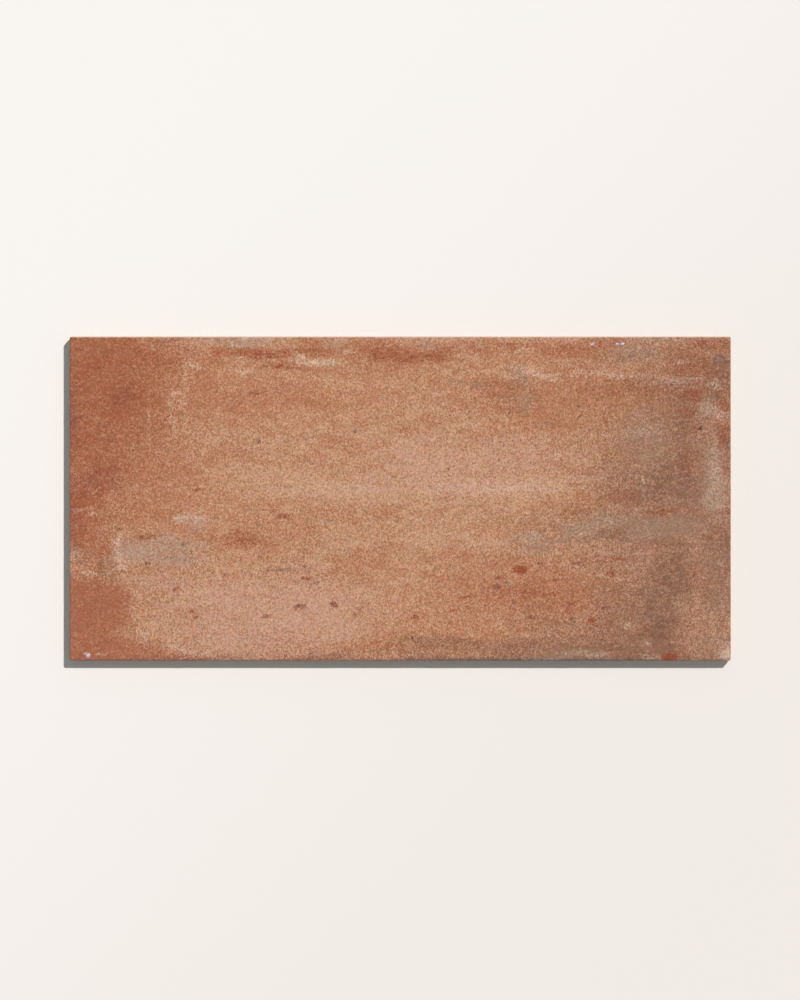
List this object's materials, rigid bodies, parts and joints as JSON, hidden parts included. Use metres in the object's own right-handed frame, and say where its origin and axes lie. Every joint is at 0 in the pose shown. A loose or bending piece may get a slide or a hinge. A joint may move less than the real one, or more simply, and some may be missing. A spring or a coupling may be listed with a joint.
{
  "type": "porcelain tile",
  "caption": "Rectangular unrectified porcelain stoneware floor and wall tile with a terracotta look, a rounded face arris, drawn-in flanks and a honeycomb key in its back.",
  "frame": {"origin": "centre of the bedding plane, on which the ribs and the border of the back lie", "axes": "+X along the length, +Y across the width, +Z out of the wearing face; seen from above with +X to the right, the face stands as in the picture"},
  "size_m": [0.306, 0.15, 0.009],
  "materials": {
    "porcelain": "matt terracotta print on unglazed stoneware, speckled like sand, with red-brown, sandy and grey-brown clouding"
  },
  "bodies": {
    "root": {"tile": "porcelain"}
  },
  "joints": []
}
